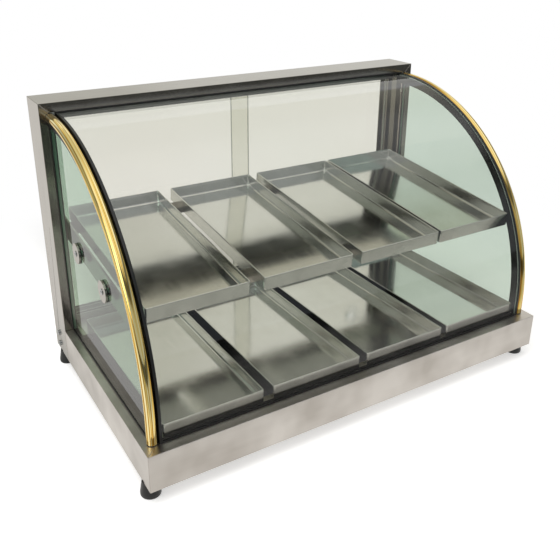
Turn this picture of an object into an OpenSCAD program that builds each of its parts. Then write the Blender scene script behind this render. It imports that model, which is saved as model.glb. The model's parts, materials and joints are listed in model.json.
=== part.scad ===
// Curved-glass countertop food showcase with two tiers of loose trays.
// X runs across the width, Y from the customer's side to the server's side,
// and Z up from the table that the feet stand on.

/* [Case] */
// Overall width over the rear frame
case_w = 800; // [740:5:960]
// Depth from the skirt's front face to the back of the rear frame
case_d = 480; // [460:5:560]
// Height of the rear frame above the underside of the base
frame_h = 490; // [470:5:560]
// Thickness of the frame's folded box section, seen from the front
frame_t = 16; // [14:1:20]
// Depth of the frame's folded box section
frame_d = 74; // [70:1:84]
// Thickness of the stainless sheet
sheet_t = 1.2; // [0.8:0.1:1.5]

/* [Base] */
// Height of the skirt, from its underside to the ledge
base_h = 63.5; // [60:0.5:80]
// Width of the front ledge, which also carries the lower trays
front_ledge_w = 42; // [38:1:60]
// How far the side ledges reach inward past the seals of the side panes
side_ledge_in = 0.5; // [0:0.1:6]
// Shadow gap between a side skirt's back end and the upright
skirt_gap = 0.8; // [0.3:0.1:1.5]
// Width of the inward flange round the underside
flange_w = 30; // [28:1:36]
// How far the rear panel stands in from the back of the frame
rear_panel_inset = 16; // [15:1:22]
// Width of the rear panel's end tabs
tab_w = 20; // [16:1:26]
// How far a lower tray's back end lies on the rear ledge
tray_lap = 12; // [6:1:20]
// Height of the rim round the bottom pan
pan_rim_h = 10; // [6:1:16]
// How far the bottom pan lies on the flanges
pan_lap = 8; // [5:1:12]

/* [Feet] */
// Height of a rubber foot
foot_h = 26; // [20:1:36]
// Widest diameter of a foot
foot_d = 32; // [26:1:36]
// Diameter of a foot under the base
foot_top_d = 25; // [20:1:26]
// Foot centre from the side face of the base
foot_inset_x = 11; // [10:0.5:11.5]
// Foot centre from the front face and from the back of the frame
foot_inset_y = 29; // [24:1:36]
// Diameter of the screw through a foot
foot_screw_d = 4; // [3:0.5:4]

/* [Glass] */
// Thickness of the side panes
glass_t = 6; // [5:0.5:8]
// Thickness of the bent front pane
front_glass_t = 5; // [4:0.5:6]
// Thickness of the sliding rear panes
door_t = 5; // [4:0.5:6]
// How far the side pane's outer face lies outside the uprights' inner face
side_glass_out = 0.3; // [0:0.1:1]
// Thickness of a seal's lips
seal_lip = 1.2; // [1:0.1:1.4]
// Width of the black band along the curved edge of a side pane
side_seal_w = 7; // [5:0.5:12]
// Width of the black band along a side edge of the front pane
front_seal_w = 4.6; // [4:0.1:8]
// Depth of the front seal's inner fin, inward from the tube's centre line
front_seal_fin = 14; // [10:0.5:16]
// Height of the seals' lips on the ledge and at the frame
seal_h = 3; // [2:0.5:5]

/* [Arch] */
// Diameter of the gilt corner tube
tube_d = 17; // [14:0.5:18]
// Wall of the corner tube
tube_wall = 1.2; // [0.8:0.1:2]
// Tube centre line inside the uprights' inner face
arch_in = 1.9; // [0:0.1:3]
// Tube centre line behind the skirt's front face, at the foot
arch_front = 27.5; // [24:0.5:30]
// Tube centre line below the underside of the top beam
arch_drop = 9.5; // [9:0.5:14]
// Straight stretch left on the shorter side of the quarter bend
arch_end = 6; // [5:0.5:30]
// How far the bent pane's outer face stands out from the tube's centre line
front_glass_out = 6.5; // [5:0.5:7]
// Thickness of the pads under the tube's ends
pad_t = 1.5; // [1:0.5:3]

/* [Trays] */
// Height of a tray's walls
tray_h = 24; // [18:1:30]
// Thickness of the tray sheet
tray_t = 0.8; // [0.6:0.1:1.2]
// Thickness of the folded hem on a tray's rim
hem_t = 2; // [1.6:0.1:2.6]
// Height of the folded hem
hem_h = 5; // [4:0.5:8]
// Space between the left rail and the first upper tray
upper_side_gap = 10; // [4:0.5:16]
// Spaces between the upper trays, from left to right
upper_gaps = [24.5, 18, 5]; // [4:0.5:30]
// Space between the last upper tray and the right rail
upper_end_gap = 3; // [2:0.5:16]
// Space between the left seal and the first lower tray
lower_side_gap = 13; // [4:0.5:20]
// Spaces between the lower trays, from left to right
lower_gaps = [17, 15, 11]; // [4:0.5:30]
// Space between an upper tray's front rim and the bent pane
tray_front_gap = 3.5; // [3:0.5:10]
// Space between an upper tray's back end and the front sliding pane
tray_back_gap = 9; // [4:0.5:16]

/* [Upper shelf] */
// Height of the upper trays' front edge above the underside of the base
shelf_h = 235.5; // [215:0.5:250]
// Slope of the upper shelf, down to the front, in degrees
shelf_slope = 6.2; // [2:0.1:8]
// Height of a side rail
rail_h = 38; // [34:1:44]
// Thickness of a side rail
rail_t = 3; // [2:0.5:4]
// Front end of a rail behind the trays' front edge
rail_from_front = 44; // [20:1:46]
// Back end of a rail in front of the trays' back edge
rail_from_back = 14; // [8:1:24]
// Rail holes below the trays' undersides
bolt_drop = 5.5; // [5.4:0.1:8]
// First rail hole behind the trays' front edge
bolt_from_front = 113; // [90:1:130]
// Second rail hole in front of the trays' back edge
bolt_from_back = 118; // [100:1:130]
// Diameter of the clamping discs and washers
disc_d = 36; // [30:1:40]
// Thickness of a clamping disc
disc_t = 3; // [2:0.5:4]
// Thickness of a rubber washer
washer_t = 1.5; // [1.3:0.1:2.5]
// Diameter of the clamping screws
bolt_d = 6; // [5:0.5:6]
// Width of a cross bar
bar_w = 25; // [18:1:30]
// Height of a cross bar
bar_h = 12; // [8:1:16]
// Front cross bar behind the trays' front edge
front_bar_from_front = 46; // [46:1:60]
// Rear cross bar in front of the trays' back edge
rear_bar_from_back = 14; // [14:1:70]

/* [Doors] */
// Depth of the folded jambs, from their front lip to the back of the frame
jamb_d = 56; // [50:1:64]
// How far the jambs' lips stand out from the uprights
jamb_lip = 6.5; // [4:0.5:6.5]
// Thickness of a jamb's front lip
front_lip_t = 4.5; // [2:0.5:6]
// Thickness of a jamb's middle and rear lips
lip_t = 2.4; // [1.5:0.1:4]
// Wall of the door tracks
track_wall = 2; // [1.5:0.5:2.5]
// Width of a groove in the door tracks
groove_w = 7; // [6.5:0.5:8]
// Height of the bottom track
bottom_track_h = 12; // [10:1:16]
// Height of the top track
top_track_h = 18; // [16:1:24]
// How far a pane reaches into the top track
door_engage = 8; // [5:0.5:10]
// Overlap of the two panes in the middle
door_overlap = 24; // [16:1:60]
// Gap between a closed pane and the bottom of its jamb
door_end_gap = 1; // [0.5:0.1:2]
// Clear diameter of a finger ring
ring_bore = 24; // [20:1:30]
// Wall of a finger ring
ring_wall = 3; // [2:0.5:4]
// How far a ring's lips reach over the pane
ring_lip = 3; // [2:0.5:5]
// Thickness of a ring's lips
ring_lip_t = 1.2; // [0.8:0.1:1.4]
// Ring centre from the upright
ring_from_frame = 66; // [40:1:100]

/* [Heating] */
// Diameter of the heating rod
rod_d = 8; // [6:0.5:10]
// Gap between the middles of the rod's two legs
rod_gap = 90; // [60:1:120]
// Ends of a leg from the ends of the bottom pan
rod_end_gap = 78; // [70:1:120]
// Height of the rod above the bottom pan
rod_rise = 22; // [16:1:28]
// Thickness of the rod's brackets
bracket_t = 1.5; // [1:0.5:3]

/* [Controls] */
// Diameter of the thermostat knob
knob_d = 38; // [30:1:42]
// Height of the knob
knob_h = 13; // [10:0.5:13]
// Distance of the thermostat from the end of the rear panel
knob_from_end = 134; // [80:1:180]
// Distance of the pilot lamp from the thermostat
lamp_from_knob = 60; // [45:1:90]
// Distance of the cord gland from the end of the rear panel
gland_from_end = 84; // [60:1:180]
// Bore of the cord gland
gland_bore = 8; // [6:0.5:9]
// Diameter of the thermostat's shaft
shaft_d = 6; // [5:0.5:7]

/* [Hidden] */
$fn = 96;
// Running and seating clearance
fit = 0.3;
// Clearance of a screw in its hole, on the diameter
screw_fit = 0.5;
// Overrun of a cut past a face
cut = 1;

// Planes of the case
half_w = case_w / 2;
y_front = -case_d / 2;
y_back = case_d / 2;
z_base = foot_h;
z_ledge = z_base + base_h;
z_top = z_base + frame_h;
z_beam = z_top - frame_t;
frame_y = y_back - frame_d;
inner_x = half_w - frame_t;

// Arch: an upright stretch, a quarter bend as wide as the height and depth allow, a level stretch
arch_x = inner_x - arch_in;
arch_y = y_front + arch_front;
arch_top = z_beam - arch_drop;
arch_r = min(arch_top - z_ledge, frame_y - arch_y) - arch_end;
arch_z = arch_top - arch_r;
bend_y = arch_y + arch_r;
tube_r = tube_d / 2;

// Offsets inward from the arch's centre line
front_glass_off = -front_glass_out;
front_glass_in = front_glass_off + front_glass_t;
front_seal_off = front_glass_off - seal_lip - fit;
front_seal_in = front_glass_in + fit + seal_lip;
side_seal_off = tube_r + fit;
side_glass_off = side_seal_off + seal_lip + fit;

// Side panes and the front pane between the tubes
side_glass_x = inner_x + side_glass_out;
side_glass_in = side_glass_x - glass_t;
front_seal_x = arch_x - tube_r - fit;
front_glass_x = front_seal_x - seal_lip - fit;

// Rear jambs, door tracks and the panes in their middles
jamb_y = y_back - jamb_d;
channel_w = (jamb_d - front_lip_t - 2 * lip_t) / 2;
jamb_x = inner_x - jamb_lip;
door_pitch = channel_w + lip_t;
front_door_y = jamb_y + front_lip_t + (channel_w - door_t) / 2;
rear_door_y = front_door_y + door_pitch;
door_fit = (groove_w - door_t) / 2;
channel_d = groove_w + 2 * track_wall;
track_y = front_door_y - door_fit - track_wall;
track_d = door_pitch + channel_d;
door_z = z_ledge + track_wall + fit;
door_top = z_beam - top_track_h + door_engage;
door_x = inner_x - sheet_t - door_end_gap;
door_w = door_x + door_overlap / 2;
ring_x = inner_x - ring_from_frame;
ring_z = (door_z + door_top) / 2;

// Upper shelf, set out from the trays' lower front edge
function arch_y_at(z, off) =
    z < arch_z ? arch_y + off : bend_y - sqrt(pow(arch_r - off, 2) - pow(z - arch_z, 2));
shelf_z = z_base + shelf_h;
rim_z = shelf_z + tray_h * cos(shelf_slope);
shelf_y = arch_y_at(rim_z, front_glass_in) + tray_front_gap + tray_h * sin(shelf_slope);
tray_d = (front_door_y - tray_back_gap - shelf_y) / cos(shelf_slope);
rail_x = side_glass_in - washer_t - rail_t;
rail_low = -bolt_drop - rail_h / 2;
rail_len = tray_d - rail_from_front - rail_from_back;
bolt_spots = [[bolt_from_front, -bolt_drop], [tray_d - bolt_from_back, -bolt_drop]];
bolt_head_d = 10;
bolt_head_h = 1.2;
bolt_nut_h = 4;
bolt_nut_flats = 10;
bolt_tip = 1;
pane_hole_fit = 3;

// Trays
function sum_to(list, n) = n == 0 ? 0 : list[n - 1] + sum_to(list, n - 1);
tray_count = 4;
upper_space = 2 * rail_x - upper_side_gap - upper_end_gap;
tray_w = (upper_space - sum_to(upper_gaps, tray_count - 1)) / tray_count;
lower_tray_y = arch_y + front_seal_in + fit;
lower_tray_x = -side_glass_in + lower_side_gap + seal_lip;

// Base panels
rear_ledge_y = lower_tray_y + tray_d - tray_lap;
ledge_x = side_glass_in - seal_lip - side_ledge_in;
side_ledge_w = half_w - ledge_x;
panel_y = y_back - rear_panel_inset;
panel_mid_z = z_base + base_h / 2;
tab_y = panel_y - sheet_t - tab_w;
pan_z = z_base + sheet_t;
pan_x = half_w - flange_w + pan_lap;
pan_front = y_front + flange_w - pan_lap;
pan_back = panel_y - sheet_t - flange_w + pan_lap;

// Screws of the frame and feet
frame_screw_d = 4;
frame_screw_head_d = 10.5;
frame_screw_head_h = 2.8;
frame_screw_rise = [15, 38];
frame_screw_y = tab_y + tab_w / 2;
slot_w = 1.2;
slot_share = 0.5;
foot_spots = [
    [-half_w + foot_inset_x, y_front + foot_inset_y],
    [half_w - foot_inset_x, y_front + foot_inset_y],
    [-half_w + foot_inset_x, y_back - foot_inset_y],
    [half_w - foot_inset_x, y_back - foot_inset_y]
];
foot_recess_h = 10;
foot_head_d = 9;
foot_head_h = 3;
foot_nut_h = 3.2;
foot_nut_flats = 7;
foot_edge = 2;

// Plug in each upright's inner wall
plug_d = 9;
plug_h = 1.2;
plug_stem_d = 5;
plug_stem_h = 5;
plug_in = 6.5;
plug_drop = 41;
plug_y = frame_y + plug_in;
plug_z = z_beam - plug_drop;

// Heating rod and its brackets
rod_z = pan_z + sheet_t + rod_rise;
rod_len = 2 * (pan_x - rod_end_gap);
bracket_share = 0.4;
bracket_spots = [for (i = [-1, 0, 1]) i * bracket_share * rod_len];
bracket_margin = 14;
bracket_foot = 12;
pin_d = 3;
pin_len = 12;

// Controls on the rear panel
shaft_fit = 0.1;
bush_d = 10;
bush_out = 5;
stat_w = 46;
stat_d = 32;
stat_h = 40;
stat_nut_t = 2.5;
stat_nut_flats = 13;
knob_gap = 0.8;
knob_skirt_h = 3;
knob_top = 3;
knob_rim_w = 7;
knob_grip_d = knob_d - 2 * knob_rim_w;
nut_room = 2;
grip_count = 12;
grip_r = 1.6;
pointer_w = 2;
lamp_d = 10;
lamp_bezel_d = 15;
lamp_bezel_t = 2;
lamp_body_len = 24;
lamp_wall = 0.5;
lens_h = 5;
gland_d = 16;
gland_flange_d = 23;
gland_flange_t = 5;
gland_dome_h = 8;
gland_dome_d = 20;
gland_mouth_d = 15;
gland_in = 12;
gland_nut_t = 4;
gland_nut_flats = 21;
knob_x = -inner_x + knob_from_end;
lamp_x = knob_x + lamp_from_knob;
gland_x = inner_x - gland_from_end;

// Colours
steel = "#bdb8ae";
mirror_steel = "#c9cac6";
gilt = "#d9b24f";
green_glass = [0.78, 0.88, 0.82, 0.35];
clear_acrylic = [0.88, 0.91, 0.89, 0.5];
black_rubber = "#1c1c1c";
zinc = "#a8adb0";
aluminium = "#c4c6c8";
dark_enamel = "#2a2b2c";
black_plastic = "#232323";
white_plastic = "#e6e6e0";
amber = "#d8651f";

// Shared shapes

// Both halves of a piece that the case has on the left and on the right
module both_sides() {
    children();
    mirror([1, 0, 0]) children();
}

// A side profile drawn in Y and Z, run along X
module run_x(x, len) {
    translate([x, 0, 0]) rotate([90, 0, 90]) linear_extrude(len) children();
}

// A cylinder along X, growing towards the outside of the left pane
module peg_x(x, spot, d, len) {
    translate([x, spot[0], spot[1]]) rotate([0, 90, 0]) cylinder(d = d, h = len);
}

// A cylinder along Y, from a point on the rear panel
module peg_y(x, y, z, d, len) {
    translate([x, y, z]) rotate([-90, 0, 0]) cylinder(d = d, h = len);
}

// A hexagon nut that stands on Z, with two flats facing X
module hex_nut(flats, h, bore) {
    rotate([0, 0, 30]) difference() {
        cylinder(d = flats / cos(30), h = h, $fn = 6);
        translate([0, 0, -cut]) cylinder(d = bore, h = h + 2 * cut);
    }
}

// A cross-slotted pan head that stands on Z, with its shank below
module pan_screw(d, head_d, head_h, len) {
    slot_z = head_h * (1 - slot_share);
    translate([0, 0, -len]) cylinder(d = d, h = len);
    difference() {
        cylinder(d = head_d, h = head_h);
        for (turn = [0, 90]) {
            rotate([0, 0, turn]) translate([-head_d / 4, -slot_w / 2, slot_z])
                cube([head_d / 2, slot_w, head_h]);
        }
    }
}

// The profile under the arch, drawn in Y and Z and set in from the centre line
module under_arch(off, rear, base) {
    bend_r = arch_r - off;
    difference() {
        translate([arch_y + off, base]) square([rear - arch_y - off, arch_top - off - base]);
        difference() {
            translate([arch_y + off - cut, arch_z]) square(bend_r + cut);
            translate([bend_y, arch_z]) circle(r = bend_r, $fn = 180);
        }
    }
}

// A curved band between two offsets from the arch's centre line
module arch_band(outer, inner, rear, base) {
    difference() {
        under_arch(outer, rear, base);
        under_arch(inner, rear + cut, base - cut);
    }
}

// Base

// A strip along the front of the base, mitred to the sides
function front_strip(w) = [
    [-half_w, y_front], [half_w, y_front], [half_w - w, y_front + w], [-half_w + w, y_front + w]
];
// A strip along the left side of the base, mitred to the front
function side_strip(w) = [
    [-half_w, y_front], [-half_w + w, y_front + w],
    [-half_w + w, frame_y - skirt_gap], [-half_w, frame_y - skirt_gap]
];

module front_skirt() {
    color(steel) {
        translate([0, 0, z_base]) linear_extrude(base_h) polygon(front_strip(sheet_t));
        translate([0, 0, z_base]) linear_extrude(sheet_t) polygon(front_strip(flange_w));
        translate([0, 0, z_ledge - sheet_t]) linear_extrude(sheet_t) polygon([
            [-half_w, y_front], [half_w, y_front],
            [ledge_x, y_front + side_ledge_w], [ledge_x, y_front + front_ledge_w],
            [-ledge_x, y_front + front_ledge_w], [-ledge_x, y_front + side_ledge_w]
        ]);
    }
}

module side_skirt() {
    color(steel) difference() {
        union() {
            translate([0, 0, z_base]) linear_extrude(base_h) polygon(side_strip(sheet_t));
            translate([0, 0, z_base]) linear_extrude(sheet_t) polygon(side_strip(flange_w));
            translate([0, 0, z_ledge - sheet_t])
                linear_extrude(sheet_t) polygon(side_strip(side_ledge_w));
        }
        translate([foot_spots[0][0], foot_spots[0][1], z_base - cut])
            cylinder(d = foot_screw_d + screw_fit, h = sheet_t + 2 * cut);
    }
}

module left_skirt() {
    side_skirt();
}

module right_skirt() {
    mirror([1, 0, 0]) side_skirt();
}

// Rear panel with its ledge, flange and end tabs, and the holes of the controls
module rear_panel() {
    color(steel) difference() {
        union() {
            translate([0, 0, z_ledge - sheet_t]) linear_extrude(sheet_t) polygon([
                [-inner_x, y_back], [inner_x, y_back], [inner_x, frame_y],
                [ledge_x, frame_y], [ledge_x, rear_ledge_y], [-ledge_x, rear_ledge_y],
                [-ledge_x, frame_y], [-inner_x, frame_y]
            ]);
            translate([-inner_x, panel_y - sheet_t, z_base]) cube([2 * inner_x, sheet_t, base_h]);
            translate([-inner_x, panel_y - flange_w, z_base]) cube([2 * inner_x, flange_w, sheet_t]);
            both_sides() translate([-inner_x, tab_y, z_base]) cube([sheet_t, tab_w + sheet_t, base_h]);
        }
        peg_y(knob_x, panel_y - sheet_t - cut, panel_mid_z, bush_d + screw_fit, sheet_t + 2 * cut);
        peg_y(lamp_x, panel_y - sheet_t - cut, panel_mid_z, lamp_d + screw_fit, sheet_t + 2 * cut);
        peg_y(gland_x, panel_y - sheet_t - cut, panel_mid_z, gland_d + screw_fit, sheet_t + 2 * cut);
        both_sides() for (rise = frame_screw_rise) {
            peg_x(-inner_x - cut, [frame_screw_y, z_base + rise],
                  frame_screw_d + screw_fit, sheet_t + 2 * cut);
        }
    }
}

module bottom_pan() {
    color(dark_enamel) translate([-pan_x, pan_front, pan_z]) difference() {
        cube([2 * pan_x, pan_back - pan_front, pan_rim_h]);
        translate([sheet_t, sheet_t, sheet_t])
            cube([2 * (pan_x - sheet_t), pan_back - pan_front - 2 * sheet_t, pan_rim_h]);
    }
}

// A rubber foot: a flared cone with a recess for its screw
module feet() {
    foot_r = foot_d / 2;
    hole_r = (foot_screw_d + screw_fit) / 2;
    recess_r = (foot_head_d + screw_fit) / 2;
    color(black_rubber) for (spot = foot_spots) {
        translate([spot[0], spot[1], 0]) rotate_extrude() polygon([
            [recess_r, 0], [foot_r - foot_edge, 0], [foot_r - foot_edge / 3, foot_edge / 3],
            [foot_r, foot_edge], [foot_r, 3 * foot_edge], [foot_top_d / 2, foot_h],
            [hole_r, foot_h], [hole_r, foot_recess_h], [recess_r, foot_recess_h]
        ]);
    }
}

module foot_screws() {
    shank = foot_h - foot_recess_h + sheet_t + foot_nut_h + cut;
    color(zinc) for (spot = foot_spots) {
        translate([spot[0], spot[1], foot_recess_h]) mirror([0, 0, 1])
            pan_screw(foot_screw_d, foot_head_d, foot_head_h, shank);
        translate([spot[0], spot[1], z_base + sheet_t])
            hex_nut(foot_nut_flats, foot_nut_h, foot_screw_d + screw_fit / 2);
    }
}

// Rear frame

// A profile drawn in X and Z, run from the back of the frame towards the front
module run_frame(inset) {
    translate([0, y_back - inset, 0]) rotate([90, 0, 0]) linear_extrude(frame_d - 2 * inset) children();
}

module upright() {
    inner = [-half_w + sheet_t, -inner_x - sheet_t];
    color(steel) difference() {
        run_frame(0) polygon([[-half_w, z_base], [-inner_x, z_base], [-inner_x, z_beam], [-half_w, z_top]]);
        run_frame(sheet_t) polygon([
            [inner[0], z_base + sheet_t], [inner[1], z_base + sheet_t], [inner[1], z_top], [inner[0], z_top]
        ]);
        for (rise = frame_screw_rise) {
            peg_x(-half_w - cut, [frame_screw_y, z_base + rise],
                  frame_screw_d + screw_fit, frame_t + 2 * cut);
        }
        peg_x(-inner_x - sheet_t - cut, [plug_y, plug_z], plug_stem_d + screw_fit, sheet_t + 2 * cut);
        translate([foot_spots[2][0], foot_spots[2][1], z_base - cut])
            cylinder(d = foot_screw_d + screw_fit, h = sheet_t + 2 * cut);
    }
}

module left_upright() {
    upright();
}

module right_upright() {
    mirror([1, 0, 0]) upright();
}

module top_beam() {
    color(steel) difference() {
        run_frame(0) polygon([[-half_w, z_top], [half_w, z_top], [inner_x, z_beam], [-inner_x, z_beam]]);
        run_frame(sheet_t) polygon([
            [-half_w, z_top - sheet_t], [half_w, z_top - sheet_t],
            [half_w, z_beam + sheet_t], [-half_w, z_beam + sheet_t]
        ]);
    }
}

module frame_screws() {
    color(zinc) both_sides() for (rise = frame_screw_rise) {
        translate([-half_w, frame_screw_y, z_base + rise]) rotate([0, -90, 0])
            pan_screw(frame_screw_d, frame_screw_head_d, frame_screw_head_h, frame_t + sheet_t + bolt_tip);
    }
}

module upright_plugs() {
    color(white_plastic) both_sides() {
        peg_x(-inner_x, [plug_y, plug_z], plug_d, plug_h);
        peg_x(-inner_x - plug_stem_h, [plug_y, plug_z], plug_stem_d, plug_stem_h);
    }
}

// A folded lining of an upright, with three lips that make two channels
module jamb() {
    h = z_beam - z_ledge;
    color(steel) translate([-inner_x, jamb_y, z_ledge]) {
        cube([sheet_t, jamb_d, h]);
        cube([jamb_lip, front_lip_t, h]);
        translate([0, front_lip_t + channel_w, 0]) cube([jamb_lip, lip_t, h]);
        translate([0, jamb_d - lip_t, 0]) cube([jamb_lip, lip_t, h]);
    }
}

module left_jamb() {
    jamb();
}

module right_jamb() {
    mirror([1, 0, 0]) jamb();
}

// Glass and its seals

module side_glass() {
    color(green_glass) difference() {
        run_x(-side_glass_x, glass_t)
            under_arch(side_glass_off, frame_y - seal_lip - fit, z_ledge + seal_lip);
        for (spot = bolt_spots) {
            place_on_shelf() peg_x(-side_glass_x - cut, spot, bolt_d + pane_hole_fit, glass_t + 2 * cut);
        }
    }
}

module left_glass() {
    side_glass();
}

module right_glass() {
    mirror([1, 0, 0]) side_glass();
}

// A channel all round a side pane, wide along the curve and low elsewhere
module side_seal() {
    color(black_rubber) difference() {
        run_x(-side_glass_x - seal_lip, glass_t + 2 * seal_lip) difference() {
            under_arch(side_seal_off, frame_y, z_ledge);
            under_arch(side_seal_off + side_seal_w, frame_y - seal_h - seal_lip, z_ledge + seal_h);
        }
        run_x(-side_glass_x, glass_t)
            under_arch(side_glass_off - fit, frame_y - seal_lip, z_ledge + seal_lip);
    }
}

module left_glass_seal() {
    side_seal();
}

module right_glass_seal() {
    mirror([1, 0, 0]) side_seal();
}

module front_glass() {
    color(green_glass) run_x(-front_glass_x, 2 * front_glass_x)
        arch_band(front_glass_off, front_glass_in, frame_y + seal_h, z_ledge + seal_lip);
}

// A channel round the bent pane: bands and inner fins at the sides, a low strip on the ledge
// and a strip that fills the space between the pane and the top beam
module front_glass_seal() {
    rear = frame_y + seal_h + seal_lip;
    pane_top = arch_top - front_glass_off + fit;
    color(black_rubber) difference() {
        union() {
            both_sides() run_x(-front_seal_x, front_seal_w)
                arch_band(front_seal_off, front_seal_in, rear, z_ledge);
            both_sides() run_x(-front_seal_x, seal_lip)
                arch_band(front_seal_off, front_seal_fin, rear, z_ledge);
            translate([-front_seal_x, arch_y + front_seal_off, z_ledge])
                cube([2 * front_seal_x, front_seal_in - front_seal_off, seal_h]);
            translate([-front_seal_x, frame_y - seal_h, pane_top])
                cube([2 * front_seal_x, rear - frame_y + seal_h, z_beam - pane_top]);
        }
        run_x(-front_glass_x - fit, 2 * (front_glass_x + fit)) arch_band(
            front_glass_off - fit, front_glass_in + fit, frame_y + seal_h, z_ledge + seal_lip);
    }
}

// A round rod along the arch's centre line, longer than the tube by the overrun at each end
module arch_rod(r, over) {
    translate([0, arch_y, z_ledge + pad_t - over])
        cylinder(r = r, h = arch_z - z_ledge - pad_t + over);
    translate([0, bend_y, arch_z]) rotate([90, 0, 90]) rotate([0, 0, 90])
        rotate_extrude(angle = 90) translate([arch_r, 0]) circle(r = r);
    translate([0, bend_y, arch_top]) rotate([-90, 0, 0])
        cylinder(r = r, h = frame_y - bend_y - pad_t + over);
}

// The gilt tube over the corner of the front and side panes
module arch_tube() {
    color(gilt) translate([-arch_x, 0, 0]) difference() {
        arch_rod(tube_r, 0);
        arch_rod(tube_r - tube_wall, cut);
    }
}

module left_arch_tube() {
    arch_tube();
}

module right_arch_tube() {
    mirror([1, 0, 0]) arch_tube();
}

module arch_end_pads() {
    color(black_rubber) both_sides() {
        translate([-arch_x, arch_y, z_ledge]) cylinder(r = tube_r, h = pad_t);
        translate([-arch_x, frame_y - pad_t, arch_top]) rotate([-90, 0, 0]) cylinder(r = tube_r, h = pad_t);
    }
}

// Upper shelf

// The sloped frame of the upper shelf: Y along the trays, Z out of their undersides
module place_on_shelf() {
    translate([0, shelf_y, shelf_z]) rotate([shelf_slope, 0, 0]) children();
}

module shelf_rail() {
    color(steel) place_on_shelf() difference() {
        translate([-rail_x - rail_t, rail_from_front, rail_low]) cube([rail_t, rail_len, rail_h]);
        for (spot = bolt_spots) {
            peg_x(-rail_x - rail_t - cut, spot, bolt_d + screw_fit, rail_t + 2 * cut);
        }
    }
}

module left_shelf_rail() {
    shelf_rail();
}

module right_shelf_rail() {
    mirror([1, 0, 0]) shelf_rail();
}

// A square tube across the case, between the two rails
module shelf_bar(from_front) {
    color(steel) place_on_shelf() translate([-rail_x, from_front, -bar_h]) difference() {
        cube([2 * rail_x, bar_w, bar_h]);
        translate([-cut, sheet_t, sheet_t])
            cube([2 * (rail_x + cut), bar_w - 2 * sheet_t, bar_h - 2 * sheet_t]);
    }
}

module front_shelf_bar() {
    shelf_bar(front_bar_from_front);
}

module rear_shelf_bar() {
    shelf_bar(tray_d - rear_bar_from_back - bar_w);
}

// Round plates on the rails' screws, all bored for them
module on_bolts(x, d, t) {
    place_on_shelf() both_sides() for (spot = bolt_spots) {
        difference() {
            peg_x(x, spot, d, t);
            peg_x(x - cut, spot, bolt_d + screw_fit, t + 2 * cut);
        }
    }
}

module shelf_discs() {
    color(mirror_steel) on_bolts(-side_glass_x - washer_t - disc_t, disc_d, disc_t);
}

module disc_washers() {
    color(black_rubber) on_bolts(-side_glass_x - washer_t, disc_d, washer_t);
}

module rail_washers() {
    color(black_rubber) on_bolts(-side_glass_in, disc_d / 2, washer_t);
}

module shelf_screws() {
    head_x = side_glass_x + washer_t + disc_t;
    shank = head_x - rail_x + bolt_nut_h + bolt_tip;
    color(zinc) place_on_shelf() both_sides() for (spot = bolt_spots) {
        translate([-head_x, spot[0], spot[1]]) rotate([0, -90, 0])
            pan_screw(bolt_d, bolt_head_d, bolt_head_h, shank);
    }
}

module shelf_nuts() {
    color(zinc) place_on_shelf() both_sides() for (spot = bolt_spots) {
        translate([-rail_x, spot[0], spot[1]]) rotate([0, 90, 0])
            hex_nut(bolt_nut_flats, bolt_nut_h, bolt_d + screw_fit / 2);
    }
}

// Trays

// An open sheet tray with a folded hem round its rim
module tray() {
    color(mirror_steel) difference() {
        cube([tray_w, tray_d, tray_h]);
        translate([tray_t, tray_t, tray_t])
            cube([tray_w - 2 * tray_t, tray_d - 2 * tray_t, tray_h - tray_t - hem_h]);
        translate([hem_t, hem_t, tray_t])
            cube([tray_w - 2 * hem_t, tray_d - 2 * hem_t, tray_h]);
    }
}

module upper_tray(i) {
    x = -rail_x + upper_side_gap + i * tray_w + sum_to(upper_gaps, i);
    place_on_shelf() translate([x, 0, fit]) tray();
}

module lower_tray(i) {
    x = lower_tray_x + i * tray_w + sum_to(lower_gaps, i);
    translate([x, lower_tray_y, z_ledge + fit]) tray();
}

// Doors

// Two channels on one sole between the jambs, with their grooves facing up
module door_track(h) {
    color(aluminium) translate([-jamb_x, track_y, 0]) {
        cube([2 * jamb_x, track_d, track_wall]);
        for (y = [0, door_pitch], wall = [0, groove_w + track_wall]) {
            translate([0, y + wall, 0]) cube([2 * jamb_x, track_wall, h]);
        }
    }
}

module top_door_track() {
    translate([0, 0, z_beam]) mirror([0, 0, 1]) door_track(top_track_h);
}

module bottom_door_track() {
    translate([0, 0, z_ledge]) door_track(bottom_track_h);
}

// A clear pane with a round hole for its finger ring
module door_pane(y) {
    color(green_glass) difference() {
        translate([-door_x, y, door_z]) cube([door_w, door_t, door_top - door_z]);
        peg_y(-ring_x, y - cut, ring_z, ring_bore + 2 * (ring_wall + fit), door_t + 2 * cut);
    }
}

// A flanged finger ring that lines the pane's hole
module door_ring(y) {
    bore_r = ring_bore / 2;
    hub_r = bore_r + ring_wall;
    lip_r = hub_r + ring_lip;
    color(clear_acrylic) translate([-ring_x, y, ring_z]) rotate([-90, 0, 0]) rotate_extrude() polygon([
        [bore_r, -ring_lip_t], [lip_r, -ring_lip_t], [lip_r, 0], [hub_r, 0],
        [hub_r, door_t], [lip_r, door_t], [lip_r, door_t + ring_lip_t], [bore_r, door_t + ring_lip_t]
    ]);
}

module left_door() {
    door_pane(front_door_y);
}

module right_door() {
    mirror([1, 0, 0]) door_pane(rear_door_y);
}

module left_door_ring() {
    door_ring(front_door_y);
}

module right_door_ring() {
    mirror([1, 0, 0]) door_ring(rear_door_y);
}

// Heating, under the lower trays

module heating_rod() {
    color(zinc) translate([0, 0, rod_z]) {
        for (side = [-1, 1]) {
            translate([-rod_len / 2, side * rod_gap / 2, 0]) rotate([0, 90, 0]) {
                cylinder(d = rod_d, h = rod_len);
                cylinder(d = pin_d, h = rod_len + pin_len);
            }
        }
        translate([-rod_len / 2, 0, 0]) rotate([0, 0, 90])
            rotate_extrude(angle = 180) translate([rod_gap / 2, 0]) circle(d = rod_d);
    }
}

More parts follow.
